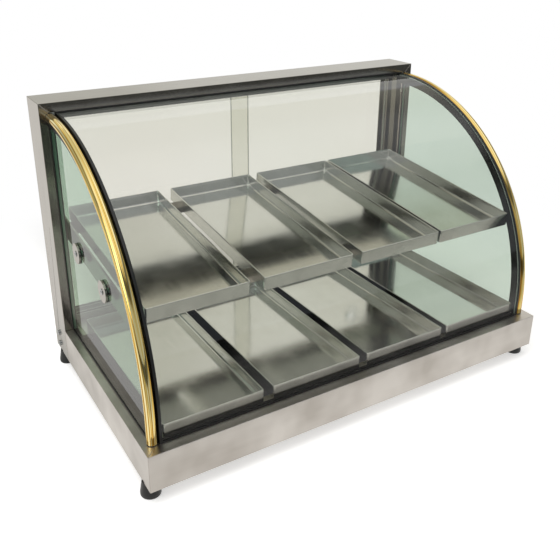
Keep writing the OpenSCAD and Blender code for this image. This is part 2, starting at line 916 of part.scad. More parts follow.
// Upright plates on the pan that the rod's legs pass through
module rod_brackets() {
    foot_z = pan_z + sheet_t;
    width = rod_gap + rod_d + 2 * bracket_margin;
    height = rod_rise + rod_d / 2 + bracket_margin / 2;
    color(zinc) for (x = bracket_spots) {
        difference() {
            union() {
                translate([x, -width / 2, foot_z]) cube([bracket_t, width, height]);
                translate([x, -width / 2, foot_z]) cube([bracket_foot, width, bracket_t]);
            }
            for (side = [-1, 1]) {
                peg_x(x - cut, [side * rod_gap / 2, rod_z], rod_d + screw_fit, bracket_t + 2 * cut);
            }
        }
    }
}

// Controls on the rear panel

// Thermostat: a box behind the panel and a threaded bush through it
module thermostat() {
    inside = panel_y - sheet_t;
    color(white_plastic) difference() {
        union() {
            translate([knob_x - stat_w / 2, inside - stat_d, panel_mid_z - stat_h / 2])
                cube([stat_w, stat_d, stat_h]);
            peg_y(knob_x, inside - cut, panel_mid_z, bush_d, sheet_t + bush_out + cut);
        }
        peg_y(knob_x, inside - stat_d / 2, panel_mid_z, shaft_d + 2 * shaft_fit, stat_d + bush_out);
    }
}

module thermostat_nut() {
    color(zinc) translate([knob_x, panel_y, panel_mid_z]) rotate([-90, 0, 0])
        hex_nut(stat_nut_flats, stat_nut_t, bush_d + screw_fit / 2);
}

module thermostat_shaft() {
    from = panel_y - sheet_t - stat_d / 2 + fit;
    to = panel_y + knob_gap + knob_h - knob_top;
    color(zinc) peg_y(knob_x, from, panel_mid_z, shaft_d, to - from);
}

// A skirted knob with a fluted grip and a raised pointer, hollow over the nut
module thermostat_knob() {
    grip_wall = knob_grip_d / 2;
    hollow_d = stat_nut_flats / cos(30) + nut_room;
    hollow_h = bush_out + fit;
    color(black_plastic) translate([knob_x, panel_y + knob_gap, panel_mid_z]) rotate([-90, 0, 0]) {
        difference() {
            union() {
                cylinder(d = knob_d, h = knob_skirt_h);
                cylinder(r = grip_wall, h = knob_h);
                translate([-pointer_w / 2, -knob_d / 2 + pointer_w, knob_skirt_h - cut])
                    cube([pointer_w, knob_d / 2 - pointer_w, cut + pointer_w / 2]);
            }
            for (i = [0 : grip_count - 1]) {
                rotate([0, 0, (i + 0.5) * 360 / grip_count]) translate([grip_wall, 0, knob_skirt_h])
                    cylinder(r = grip_r, h = knob_h);
            }
            translate([0, 0, -cut]) cylinder(d = hollow_d, h = hollow_h + cut);
            translate([0, 0, -cut]) cylinder(d = shaft_d + 2 * shaft_fit, h = knob_h - knob_top + fit + cut);
        }
    }
}

module pilot_bezel() {
    inside = panel_y - sheet_t - lamp_body_len;
    color(black_plastic) difference() {
        union() {
            peg_y(lamp_x, panel_y, panel_mid_z, lamp_bezel_d, lamp_bezel_t);
            peg_y(lamp_x, inside, panel_mid_z, lamp_d, lamp_body_len + sheet_t);
        }
        peg_y(lamp_x, panel_y, panel_mid_z, lamp_d - 2 * lamp_wall, lamp_bezel_t + cut);
    }
}

// A domed lens that sits in the bezel
module pilot_lens() {
    lens_r = lamp_d / 2 - lamp_wall - fit / 2;
    color(amber) translate([lamp_x, panel_y, panel_mid_z]) rotate([-90, 0, 0]) {
        cylinder(r = lens_r, h = lens_h - lens_r / 2);
        translate([0, 0, lens_h - lens_r / 2]) intersection() {
            translate([0, 0, -lens_r * 0.75]) sphere(r = lens_r * 1.25);
            cylinder(r = lens_r, h = lens_r);
        }
    }
}

// Cord gland: a threaded body through the panel, a flange and a tapered dome
module cord_gland() {
    color(black_plastic) translate([gland_x, panel_y, panel_mid_z]) rotate([-90, 0, 0]) difference() {
        union() {
            translate([0, 0, -sheet_t - gland_in]) cylinder(d = gland_d, h = sheet_t + gland_in);
            cylinder(d = gland_flange_d, h = gland_flange_t);
            translate([0, 0, gland_flange_t])
                cylinder(d1 = gland_dome_d, d2 = gland_mouth_d, h = gland_dome_h);
        }
        translate([0, 0, -sheet_t - gland_in - cut])
            cylinder(d = gland_bore, h = sheet_t + gland_in + gland_flange_t + gland_dome_h + 2 * cut);
    }
}

module gland_nut() {
    color(black_plastic) translate([gland_x, panel_y - sheet_t - gland_nut_t, panel_mid_z])
        rotate([-90, 0, 0]) hex_nut(gland_nut_flats, gland_nut_t, gland_d + screw_fit / 2);
}

front_skirt();
left_skirt();
right_skirt();
rear_panel();
bottom_pan();
feet();
foot_screws();
left_upright();
right_upright();
top_beam();
frame_screws();
upright_plugs();
left_jamb();
right_jamb();
left_glass();
right_glass();
front_glass();
left_glass_seal();
right_glass_seal();
front_glass_seal();
left_arch_tube();
right_arch_tube();
arch_end_pads();
left_shelf_rail();
right_shelf_rail();
front_shelf_bar();
rear_shelf_bar();
shelf_discs();
disc_washers();
rail_washers();
shelf_screws();
shelf_nuts();
upper_tray(0);  // upper_tray_1
upper_tray(1);  // upper_tray_2
upper_tray(2);  // upper_tray_3
upper_tray(3);  // upper_tray_4
lower_tray(0);  // lower_tray_1
lower_tray(1);  // lower_tray_2
lower_tray(2);  // lower_tray_3
lower_tray(3);  // lower_tray_4
top_door_track();
bottom_door_track();
left_door();
right_door();
left_door_ring();
right_door_ring();
heating_rod();
rod_brackets();
thermostat();
thermostat_nut();
thermostat_shaft();
thermostat_knob();
pilot_bezel();
pilot_lens();
cord_gland();
gland_nut();
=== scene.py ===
import json
import math
import bpy
from mathutils import Matrix, Vector


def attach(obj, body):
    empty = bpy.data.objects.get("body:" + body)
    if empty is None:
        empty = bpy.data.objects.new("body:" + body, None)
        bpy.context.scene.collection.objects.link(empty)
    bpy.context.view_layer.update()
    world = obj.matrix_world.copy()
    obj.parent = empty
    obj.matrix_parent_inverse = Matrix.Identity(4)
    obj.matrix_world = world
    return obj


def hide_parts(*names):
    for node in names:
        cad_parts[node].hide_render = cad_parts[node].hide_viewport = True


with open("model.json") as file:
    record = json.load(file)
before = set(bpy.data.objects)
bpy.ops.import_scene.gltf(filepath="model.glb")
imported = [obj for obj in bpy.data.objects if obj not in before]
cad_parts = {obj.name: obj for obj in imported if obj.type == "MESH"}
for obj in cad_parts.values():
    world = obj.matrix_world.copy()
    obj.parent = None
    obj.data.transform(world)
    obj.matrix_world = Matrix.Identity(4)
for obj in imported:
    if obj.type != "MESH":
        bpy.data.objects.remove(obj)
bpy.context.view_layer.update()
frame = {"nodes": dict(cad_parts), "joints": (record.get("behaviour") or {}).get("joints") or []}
nodes = frame["nodes"]
print("frame loaded:", len(nodes), "nodes")


def linear(hexColour):
    # sRGB hex to the linear colour that shaders take
    parts = [int(hexColour[i:i + 2], 16) / 255 for i in (1, 3, 5)]
    return tuple(p / 12.92 if p <= 0.04045 else ((p + 0.055) / 1.055) ** 2.4 for p in parts) + (1,)


def addNode(tree, kind, sets=None, values=None, links=None):
    # one node with its settings, its socket values and what feeds it
    node = tree.nodes.new(kind)
    for name, value in (sets or {}).items():
        setattr(node, name, value)
    for name, value in (values or {}).items():
        node.inputs[name].default_value = value
    for name, (source, output) in (links or {}).items():
        tree.links.new(source.outputs[output], node.inputs[name])
    return node


def newMaterial(name):
    mat = bpy.data.materials.new(name)
    mat.use_nodes = True
    mat.node_tree.nodes.clear()
    return mat, mat.node_tree


def rampColours(ramp, stops):
    # stops are (position, hex) pairs in order
    elements = ramp.color_ramp.elements
    while len(elements) < len(stops):
        elements.new(1)
    for element, (place, colour) in zip(elements, stops):
        element.position = place
        element.color = linear(colour)


eased = {"interpolation_type": "SMOOTHSTEP"}  # a mapped range without corners at its ends


def between(span, low=0, high=1):
    # socket values that map one span of numbers to another
    return {"From Min": span[0], "From Max": span[1], "To Min": low, "To Max": high}


def perMetre(alongMm, acrossMm, axis):
    # mapping scale that makes a noise of scale 1 this long along one axis and this wide across it
    scale = [1000 / acrossMm] * 3
    scale["XYZ".index(axis)] = 1000 / alongMm
    return scale


# camera at the photo's place, from a solved perspective: metres, degrees, lens and sensor in mm
cameraSet = {"place": (-0.67144, -1.0261, 0.77794), "azimuth": 31.37, "elevation": 22.37, "roll": 0.34,
             "lens": 46.13, "sensor": 36, "shift": (0.00923, -0.0938), "nearest": 0.05}


def makeCamera(given):
    az, el, roll = (math.radians(given[k]) for k in ("azimuth", "elevation", "roll"))
    ahead = Vector((math.sin(az) * math.cos(el), math.cos(az) * math.cos(el), -math.sin(el)))
    right = Vector((math.cos(az), -math.sin(az), 0))
    up = right.cross(ahead)
    rolledRight = math.cos(roll) * right + math.sin(roll) * up
    rolledUp = -math.sin(roll) * right + math.cos(roll) * up
    data = bpy.data.cameras.new("photoCamera")
    data.sensor_width = given["sensor"]
    data.lens = given["lens"]
    data.shift_x, data.shift_y = given["shift"]
    data.clip_start = given["nearest"]
    camera = bpy.data.objects.new("photoCamera", data)
    bpy.context.scene.collection.objects.link(camera)
    turn = Matrix((rolledRight, rolledUp, -ahead)).transposed()
    camera.matrix_world = Matrix.Translation(given["place"]) @ turn.to_4x4()
    bpy.context.scene.camera = camera


makeCamera(cameraSet)
print("camera set")


# metals: what all sheets and plated parts share; span is where nearly all values of the marks lie
# rub and rolling lines are far finer than a pixel, so wider streaks stand for them
sheetSet = {"cloudDetail": 2, "streakDetail": 3, "span": (0.35, 0.65), "waveDeepMm": 1}


def clouded(tree, place, given):
    # soft clouds and faint streaks along one axis, as one value round 0.5
    cloud = addNode(tree, "ShaderNodeTexNoise",
                    values={"Scale": 1000 / given["cloudMm"], "Detail": sheetSet["cloudDetail"]},
                    links={"Vector": (place, "Object")})
    along = addNode(tree, "ShaderNodeMapping",
                    values={"Scale": perMetre(*given["streakMm"], given["axis"])},
                    links={"Vector": (place, "Object")})
    streak = addNode(tree, "ShaderNodeTexNoise", values={"Scale": 1, "Detail": sheetSet["streakDetail"]},
                     links={"Vector": (along, "Vector")})
    return addNode(tree, "ShaderNodeMix", {"data_type": "FLOAT"}, {"Factor": given["streakShare"]},
                   {2: (cloud, "Fac"), 3: (streak, "Fac")})


def metalSheet(name, given):
    # a metal whose shine runs from satin to mirror with its finish, on slightly wavy sheet
    mat, tree = newMaterial(name)
    low, high = sheetSet["span"]
    place = addNode(tree, "ShaderNodeTexCoord")
    marks = clouded(tree, place, given)
    colour = addNode(tree, "ShaderNodeValToRGB", links={"Fac": (marks, 0)})
    rampColours(colour, [(low, given["dark"]), (high, given["light"])])
    rough = addNode(tree, "ShaderNodeMapRange", values=between((low, high), *given["rough"]),
                    links={"Value": (marks, 0)})
    wave = addNode(tree, "ShaderNodeTexNoise", values={"Scale": 1000 / given["waveMm"], "Detail": 0},
                   links={"Vector": (place, "Object")})
    bump = addNode(tree, "ShaderNodeBump",
                   values={"Strength": given["bump"], "Distance": sheetSet["waveDeepMm"] / 1000},
                   links={"Height": (wave, "Fac")})
    shader = addNode(tree, "ShaderNodeBsdfPrincipled", values={"Metallic": 1},
                     links={"Base Color": (colour, "Color"), "Roughness": (rough, "Result"),
                            "Normal": (bump, "Normal")})
    addNode(tree, "ShaderNodeOutputMaterial", links={"Surface": (shader, "BSDF")})
    return mat


# satin stainless sheet, rubbed along its length: even, with broad clouds and hardly any line
satinSet = {"light": "#DFDAD4", "dark": "#BEB8B1", "rough": (0.3, 0.38), "cloudMm": 80,
            "streakMm": (260, 14), "streakShare": 0.12, "axis": "X", "waveMm": 160, "bump": 0.05}
# polished stainless of the frame and the shelf: clear, slightly bent reflections
polishedSet = {"light": "#AFAAA2", "dark": "#A6A098", "rough": (0.12, 0.17), "cloudMm": 70,
               "streakMm": (200, 8), "streakShare": 0.3, "axis": "Z", "waveMm": 140, "bump": 0.05}
# bright rolled tray sheet: mirrors softly, dulled by wiping
traySet = {"light": "#EAEBE8", "dark": "#E2E3DF", "rough": (0.09, 0.16), "cloudMm": 60,
           "streakMm": (120, 7), "streakShare": 0.3, "axis": "Y", "waveMm": 110, "bump": 0.08}
# the trays' outside is left as rolled: a little darker and duller
dullSet = {"light": "#DADBD7", "dark": "#CACCC8", "rough": (0.15, 0.22), "cloudMm": 50,
           "streakMm": (120, 7), "streakShare": 0.3, "axis": "Y", "waveMm": 110, "bump": 0.08}
# folds and hems: a paler sheet that is a painted highlight, so they show as pale thin lines from most sides
foldSet = {"light": "#F6F6F4", "dark": "#EDEEEB", "rough": (0.14, 0.2), "cloudMm": 60,
           "streakMm": (120, 7), "streakShare": 0.3, "axis": "Y", "waveMm": 110, "bump": 0.03}
# bright zinc plate on screws and nuts: a cool grey shine with small clouds
zincSet = {"light": "#C2C4C4", "dark": "#ADB0B1", "rough": (0.2, 0.32), "cloudMm": 8,
           "streakMm": (6, 4), "streakShare": 0.4, "axis": "X", "waveMm": 20, "bump": 0.05}
# drawn aluminium track, natural anodised: dull silver with lines along its length
aluminiumSet = {"light": "#CDCFD0", "dark": "#BFC1C2", "rough": (0.3, 0.4), "cloudMm": 60,
                "streakMm": (200, 2), "streakShare": 0.6, "axis": "X", "waveMm": 80, "bump": 0.03}
# brown-grey on the jambs of the door opening, softly shining: its darkness is painted shade for the dark
# opening they sit in
jambShadeSet = {"light": "#7D7A70", "dark": "#6E6B62", "rough": (0.14, 0.22), "cloudMm": 60,
             "streakMm": (200, 3), "streakShare": 0.5, "axis": "Z", "waveMm": 80, "bump": 0.03}
# sheath of the heating rod, tinted by its heat: brown-grey, patchy and dull
sheathSet = {"light": "#9A968E", "dark": "#6F6A62", "rough": (0.35, 0.5), "cloudMm": 20,
             "streakMm": (20, 6), "streakShare": 0.5, "axis": "X", "waveMm": 30, "bump": 0.05}

# drawn brass tube, polished and lacquered: a warm mirror with cream and brown lines along its bend
# the cream lines are painted highlights and the brown ones painted dark reflections, over the brass's own
# warm colour
# the arch and bend values give the tube's centre line
giltSet = {"tones": [(0.34, "#98691E"), (0.41, "#DBAA48"), (0.5, "#F8DA80"), (0.6, "#FFF5C4")],
           "rough": (0.06, 0.12), "span": (0.35, 0.65), "lineMm": (240, 2.66), "detail": 2,
           "bump": 0.12, "deepMm": 0.5, "tubeRmm": 8.5,
           "archRmm": 372.5, "archZmm": 118, "bendYmm": 160, "archXmm": 382.1}


def streakPaintedTube(name, given):
    # the painted highlight and reflection lines follow the tube's bend: they run by the angle round its
    # centre line
    mat, tree = newMaterial(name)
    lineLong, lineWide = given["lineMm"]
    place = addNode(tree, "ShaderNodeTexCoord")
    spot = addNode(tree, "ShaderNodeSeparateXYZ", links={"Vector": (place, "Object")})
    ahead = addNode(tree, "ShaderNodeMath", {"operation": "SUBTRACT", "use_clamp": True},
                    {0: given["bendYmm"] / 1000}, {1: (spot, "Y")})
    rise = addNode(tree, "ShaderNodeMath", {"operation": "SUBTRACT", "use_clamp": True},
                   {1: given["archZmm"] / 1000}, {0: (spot, "Z")})
    reach = addNode(tree, "ShaderNodeCombineXYZ", links={"X": (ahead, "Value"), "Y": (rise, "Value")})
    radius = addNode(tree, "ShaderNodeVectorMath", {"operation": "LENGTH"}, links={0: (reach, "Vector")})
    out = addNode(tree, "ShaderNodeMath", {"operation": "SUBTRACT"}, {1: given["archRmm"] / 1000},
                  {0: (radius, "Value")})
    wide = addNode(tree, "ShaderNodeMath", {"operation": "ABSOLUTE"}, links={0: (spot, "X")})
    side = addNode(tree, "ShaderNodeMath", {"operation": "SUBTRACT"}, {1: given["archXmm"] / 1000},
                   {0: (wide, "Value")})
    turn = addNode(tree, "ShaderNodeMath", {"operation": "ARCTAN2"},
                   links={0: (out, "Value"), 1: (side, "Value")})
    roundTube = addNode(tree, "ShaderNodeMath", {"operation": "MULTIPLY"},
                        {1: given["tubeRmm"] / lineWide}, {0: (turn, "Value")})
    along = addNode(tree, "ShaderNodeMath", {"operation": "SUBTRACT"},
                    links={0: (spot, "Z"), 1: (spot, "Y")})
    alongTube = addNode(tree, "ShaderNodeMath", {"operation": "MULTIPLY"}, {1: 1000 / lineLong},
                        {0: (along, "Value")})
    grid = addNode(tree, "ShaderNodeCombineXYZ",
                   links={"X": (roundTube, "Value"), "Y": (alongTube, "Value")})
    lines = addNode(tree, "ShaderNodeTexNoise", values={"Scale": 1, "Detail": given["detail"]},
                    links={"Vector": (grid, "Vector")})
    # cream tones are painted highlights, brown ones painted dark reflections
    colour = addNode(tree, "ShaderNodeValToRGB", links={"Fac": (lines, "Fac")})
    rampColours(colour, given["tones"])
    rough = addNode(tree, "ShaderNodeMapRange", values=between(given["span"], *reversed(given["rough"])),
                    links={"Value": (lines, "Fac")})
    bump = addNode(tree, "ShaderNodeBump",
                   values={"Strength": given["bump"], "Distance": given["deepMm"] / 1000},
                   links={"Height": (lines, "Fac")})
    shader = addNode(tree, "ShaderNodeBsdfPrincipled", values={"Metallic": 1},
                     links={"Base Color": (colour, "Color"), "Roughness": (rough, "Result"),
                            "Normal": (bump, "Normal")})
    addNode(tree, "ShaderNodeOutputMaterial", links={"Surface": (shader, "BSDF")})
    return mat


# glass: what all panes share; the cast is deeper where one looks through at a slant
paneSet = {"filmMm": 333, "filmDetail": 1, "filmSpan": (0.3, 0.7), "slantFrom": (0.5, 0.75),
           "edgeFrom": 0.5, "edgeRough": 0.25}
# bent float glass of the front: nearly without a cast, with grey-green cut ends
frontGlassSet = {"clear": "#F8F7F5", "thick": "#F6F6F3", "slant": "#F6F6F3", "edge": "#9AA79D",
                 "edgeShare": 1, "ior": 1.52}
# thin float glass of the doors: clear, its cut edges show as two faint upright lines
doorGlassSet = {"clear": "#F8F8F5", "thick": "#F6F6F2", "slant": "#F6F6F2", "edge": "#B4BDB4",
                "edgeShare": 0.7, "ior": 1.52}
# cast acrylic of the finger rings: clear, with hardly any edge
acrylicSet = {"clear": "#FAFBFA", "thick": "#F6F8F7", "slant": "#F6F8F7", "edge": "#E6EAE8",
              "edgeShare": 0.05, "ior": 1.49}
# thick float glass of the sides: green, most of all at a slant and in its cut edges
sideGlassSet = {"clear": "#E8F0EB", "thick": "#E5EEE8", "slant": "#D3E2D7", "edge": "#7FA893",
                "edgeShare": 1, "ior": 1.52}


def floatGlass(name, edgeTest, faceAxis, given):
    # clear with a faint cast, mirroring on its outer faces, greener where one looks into a cut edge
    # a face counts as an edge when its normal's share along the axis passes the test
    mat, tree = newMaterial(name)
    filmLow, filmHigh = paneSet["filmSpan"]
    shape = addNode(tree, "ShaderNodeNewGeometry")
    place = addNode(tree, "ShaderNodeTexCoord")
    film = addNode(tree, "ShaderNodeTexNoise",
                   values={"Scale": 1000 / paneSet["filmMm"], "Detail": paneSet["filmDetail"]},
                   links={"Vector": (place, "Object")})
    cast = addNode(tree, "ShaderNodeValToRGB", links={"Fac": (film, "Fac")})
    rampColours(cast, [(filmLow, given["thick"]), (filmHigh, given["clear"])])
    lean = addNode(tree, "ShaderNodeLayerWeight")
    slant = addNode(tree, "ShaderNodeMapRange", values=between(paneSet["slantFrom"]),
                    links={"Value": (lean, "Facing")})
    tint = addNode(tree, "ShaderNodeMix", {"data_type": "RGBA"}, {7: linear(given["slant"])},
                   {"Factor": (slant, "Result"), 6: (cast, "Color")})
    through = addNode(tree, "ShaderNodeBsdfTransparent", links={"Color": (tint, 2)})
    shine = addNode(tree, "ShaderNodeBsdfGlossy", values={"Color": (1, 1, 1, 1), "Roughness": 0})
    gloss = addNode(tree, "ShaderNodeFresnel", values={"IOR": given["ior"]})
    outside = addNode(tree, "ShaderNodeMath", {"operation": "SUBTRACT"}, {0: 1},
                      {1: (shape, "Backfacing")})
    share = addNode(tree, "ShaderNodeMath", {"operation": "MULTIPLY"},
                    links={0: (gloss, "Fac"), 1: (outside, "Value")})
    pane = addNode(tree, "ShaderNodeMixShader",
                   links={0: (share, "Value"), 1: (through, "BSDF"), 2: (shine, "BSDF")})
    facing = addNode(tree, "ShaderNodeSeparateXYZ", links={"Vector": (shape, "True Normal")})
    size = addNode(tree, "ShaderNodeMath", {"operation": "ABSOLUTE"}, links={0: (facing, faceAxis)})
    isEdge = addNode(tree, "ShaderNodeMath", {"operation": edgeTest}, {1: paneSet["edgeFrom"]},
                     {0: (size, "Value")})
    edge = addNode(tree, "ShaderNodeBsdfPrincipled",
                   values={"Base Color": linear(given["edge"]), "Roughness": paneSet["edgeRough"]})
    part = addNode(tree, "ShaderNodeMath", {"operation": "MULTIPLY"}, {1: given["edgeShare"]},
                   {0: (isEdge, "Value")})
    both = addNode(tree, "ShaderNodeMixShader",
                   links={0: (part, "Value"), 1: (pane, "Shader"), 2: (edge, "BSDF")})
    addNode(tree, "ShaderNodeOutputMaterial", links={"Surface": (both, "Shader")})
    return mat


# rubber, plastic and enamel: what they share; their real grain is too fine to show and is drawn coarser
mouldSet = {"detail": 2, "span": (0.3, 0.7), "deepMm": 0.3}
# moulded black rubber: deep black with a soft shine
rubberSet = {"light": "#1B1C1B", "dark": "#131413", "rough": (0.3, 0.4), "grainMm": 2, "bump": 0.05}
# moulded black ABS: a lighter, duller black with a fine grain
plasticSet = {"light": "#2B2B2B", "dark": "#222222", "rough": (0.42, 0.52), "grainMm": 1, "bump": 0.15}
# moulded white nylon: slightly cream and dull
whiteSet = {"light": "#ECECE6", "dark": "#E2E2DB", "rough": (0.35, 0.45), "grainMm": 2, "bump": 0.05}
# moulded amber acrylic: glossy orange
amberSet = {"light": "#E87A2A", "dark": "#D8651F", "rough": (0.08, 0.15), "grainMm": 3, "bump": 0.02}
# stove enamel on the pan: dark and dull, slightly uneven
enamelSet = {"light": "#2B2D2B", "dark": "#1F211F", "rough": (0.4, 0.6), "grainMm": 4, "bump": 0.1}


def moulded(name, given):
    # even colour, fine grain, a dull or soft shine
    mat, tree = newMaterial(name)
    low, high = mouldSet["span"]
    place = addNode(tree, "ShaderNodeTexCoord")
    grain = addNode(tree, "ShaderNodeTexNoise",
                    values={"Scale": 1000 / given["grainMm"], "Detail": mouldSet["detail"]},
                    links={"Vector": (place, "Object")})
    colour = addNode(tree, "ShaderNodeValToRGB", links={"Fac": (grain, "Fac")})
    rampColours(colour, [(low, given["dark"]), (high, given["light"])])
    rough = addNode(tree, "ShaderNodeMapRange", values=between((low, high), *given["rough"]),
                    links={"Value": (grain, "Fac")})
    bump = addNode(tree, "ShaderNodeBump",
                   values={"Strength": given["bump"], "Distance": mouldSet["deepMm"] / 1000},
                   links={"Height": (grain, "Fac")})
    shader = addNode(tree, "ShaderNodeBsdfPrincipled",
                     links={"Base Color": (colour, "Color"), "Roughness": (rough, "Result"),
                            "Normal": (bump, "Normal")})
    addNode(tree, "ShaderNodeOutputMaterial", links={"Surface": (shader, "BSDF")})
    return mat


satinSteel = metalSheet("satinRubbedStainless", satinSet)
polishedSteel = metalSheet("polishedStainless", polishedSet)
traySteel = metalSheet("brightRolledStainless", traySet)
dullSteel = metalSheet("dullRolledStainless", dullSet)
foldHighlight = metalSheet("paintedFoldHighlight", foldSet)
zincPlate = metalSheet("zincPlatedSteel", zincSet)
anodised = metalSheet("anodisedAluminium", aluminiumSet)
sheath = metalSheet("heatTintedSheath", sheathSet)
gilt = streakPaintedTube("polishedLacqueredBrass", giltSet)
# the jambs' dark brown-grey is painted shade
jambShade = metalSheet("paintedShadeJamb", jambShadeSet)
sidePane = floatGlass("cutFloatGlassSide", "LESS_THAN", "X", sideGlassSet)
doorPane = floatGlass("cutFloatGlassDoor", "LESS_THAN", "Y", doorGlassSet)
bentPane = floatGlass("bentFloatGlassFront", "GREATER_THAN", "X", frontGlassSet)
clearAcrylic = floatGlass("clearMouldedAcrylic", "GREATER_THAN", "Y", acrylicSet)
rubber = moulded("mouldedBlackRubber", rubberSet)
blackAbs = moulded("mouldedBlackAbs", plasticSet)
whiteNylon = moulded("mouldedWhiteNylon", whiteSet)
amberAcrylic = moulded("amberAcrylic", amberSet)
enamel = moulded("darkStoveEnamel", enamelSet)

trays = [f"{tier}_tray_{i}" for tier in ("upper", "lower") for i in (1, 2, 3, 4)]
skirts = ["front_skirt", "left_skirt", "right_skirt"]
frameParts = ["left_upright", "right_upright", "top_beam"]
seals = ["left_glass_seal", "right_glass_seal", "front_glass_seal"]
finishes = {
    satinSteel: skirts + ["rear_panel"],
    polishedSteel: frameParts + ["left_shelf_rail", "right_shelf_rail", "front_shelf_bar",
                                 "rear_shelf_bar", "shelf_discs"],
    jambShade: ["left_jamb", "right_jamb"],
    traySteel: trays,
    zincPlate: ["foot_screws", "frame_screws", "shelf_screws", "shelf_nuts", "thermostat_nut",
                "thermostat_shaft", "rod_brackets"],
    anodised: ["top_door_track", "bottom_door_track"],
    sheath: ["heating_rod"],
    gilt: ["left_arch_tube", "right_arch_tube"],
    sidePane: ["left_glass", "right_glass"],
    doorPane: ["left_door", "right_door"],
    bentPane: ["front_glass"],
    rubber: seals + ["feet", "arch_end_pads", "disc_washers", "rail_washers"],
    clearAcrylic: ["left_door_ring", "right_door_ring"],
    blackAbs: ["thermostat_knob", "pilot_bezel", "cord_gland", "gland_nut"],
    whiteNylon: ["upright_plugs", "thermostat"],
    amberAcrylic: ["pilot_lens"],
    enamel: ["bottom_pan"],
}
for mat, names in finishes.items():
    for name in names:
        nodes[name].data.materials.clear()
        nodes[name].data.materials.append(mat)
print("materials on", sum(len(n) for n in finishes.values()), "nodes")


# folded tray, in mm: sheet, fold radii, corner radius, and the hem rolled round the rim
trayFold = {"sheet": 0.8, "inside": 2.6, "outside": 0.8, "corner": 3.2, "cornerLeast": 0.3,
            "hem": 2, "hemHigh": 5, "hemUnder": 0.4, "steps": 4}
# the third finish is a painted highlight for the folds and the hem
trayFinishes = [traySteel, dullSteel, foldHighlight]
brightFace, dullFace, foldFace = range(len(trayFinishes))


def arc(centre, radius, start, end, steps):
    # points on an arc, angles in degrees
    turns = [math.radians(start + (end - start) * i / steps) for i in range(steps + 1)]
    return [(centre[0] + radius * math.cos(t), centre[1] + radius * math.sin(t)) for t in turns]


def traySection(high, given):
    # section of a tray wall from the underside over the hem to the floor, as (inset, height) in mm,
    # with what is curved in it and how many points belong to the outside
    sheet, inside, hem, steps = (given[k] for k in ("sheet", "inside", "hem", "steps"))
    outside, roll, lip = given["outside"], hem / 2, given["hemUnder"]
    runs = [arc((outside, outside), outside, 270, 180, steps),
            arc((roll, high - roll), roll, 180, 0, 2 * steps),
            arc((hem - lip, high - given["hemHigh"] + lip), lip, 0, -90, steps // 2),
            arc((sheet + inside, sheet + inside), inside, 180, 270, steps)]
    points = [point for run in runs for point in run]
    curved = [k < len(run) - 1 for run in runs for k in range(len(run))]
    return points, curved[:-1], len(runs[0])


def makeTray(name, given):
    # one loop round the tray for each point of the section; folds and hem catch the light as thin lines,
    # from their own curve and from a paler finish that is a painted highlight
    node = nodes[name]
    slide = next(j for j in frame["joints"] if j["child"] == name)
    along = Vector(slide["axis"]).normalized()
    across = Vector((1, 0, 0))
    axes = Matrix((across, along, across.cross(along)))
    spots = [axes @ v.co * 1000 for v in node.data.vertices]
    low, high = ([pick(s[i] for s in spots) for i in range(3)] for pick in (min, max))
    points, curved, outsidePoints = traySection(high[2] - low[2], given)
    verts, faces, smooth, finish = [], [], [], []
    for inset, height in points:
        radius = max(given["corner"] - inset, given["cornerLeast"])
        for corner, (right, back) in enumerate(((1, 1), (0, 1), (0, 0), (1, 0))):
            centre = [(high if far else low)[i] + (-1 if far else 1) * (inset + radius)
                      for i, far in enumerate((right, back))]
            for x, y in arc(centre, radius, corner * 90, corner * 90 + 90, given["steps"]):
                verts.append(axes.transposed() @ Vector((x, y, low[2] + height)) / 1000)
    cornerPoints = given["steps"] + 1
    count = 4 * cornerPoints
    for ring, bend in enumerate(curved):
        wall = dullFace if ring < outsidePoints else brightFace
        for k in range(count):
            near, far = ring * count + k, ring * count + (k + 1) % count
            faces.append((near, far, far + count, near + count))
            smooth.append(bend or k % cornerPoints < given["steps"])
            # curved folds and the hem take the paler finish, a painted highlight
            finish.append(foldFace if bend and ring else wall)
    last = len(points) - 1
    faces += [tuple(reversed(range(count))), tuple(range(last * count, (last + 1) * count))]
    smooth += [False, False]
    finish += [dullFace, brightFace]
    mesh = bpy.data.meshes.new(name + "_folded")
    mesh.from_pydata(verts, [], faces)
    mesh.polygons.foreach_set("use_smooth", smooth)
    mesh.polygons.foreach_set("material_index", finish)
    for mat in trayFinishes:
        mesh.materials.append(mat)
    piece = bpy.data.objects.new(name + "_folded", mesh)
    bpy.context.scene.collection.objects.link(piece)
    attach(piece, name)
    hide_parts(name)


for name in trays:
    makeTray(name, trayFold)
print("trays folded:", len(trays))


# broken edges of the other parts: radius in mm, faces joined within weldMm, sharp from sharpDeg
edgeSet = {"radiusMm": {0.6: skirts + frameParts + ["rear_panel"], 0.3: seals},
           "weldMm": 0.01, "segments": 2, "sharpDeg": 40}


def softenEdges(name, radiusMm, given):
    nodes[name].modifiers.new("joinFaces", "WELD").merge_threshold = given["weldMm"] / 1000
    edge = nodes[name].modifiers.new("brokenEdge", "BEVEL")
    edge.width = radiusMm / 1000
    edge.segments = given["segments"]
    edge.limit_method = "ANGLE"
    edge.angle_limit = math.radians(given["sharpDeg"])


for radiusMm, names in edgeSet["radiusMm"].items():
    for name in names:
        softenEdges(name, radiusMm, edgeSet)
print("edges softened")


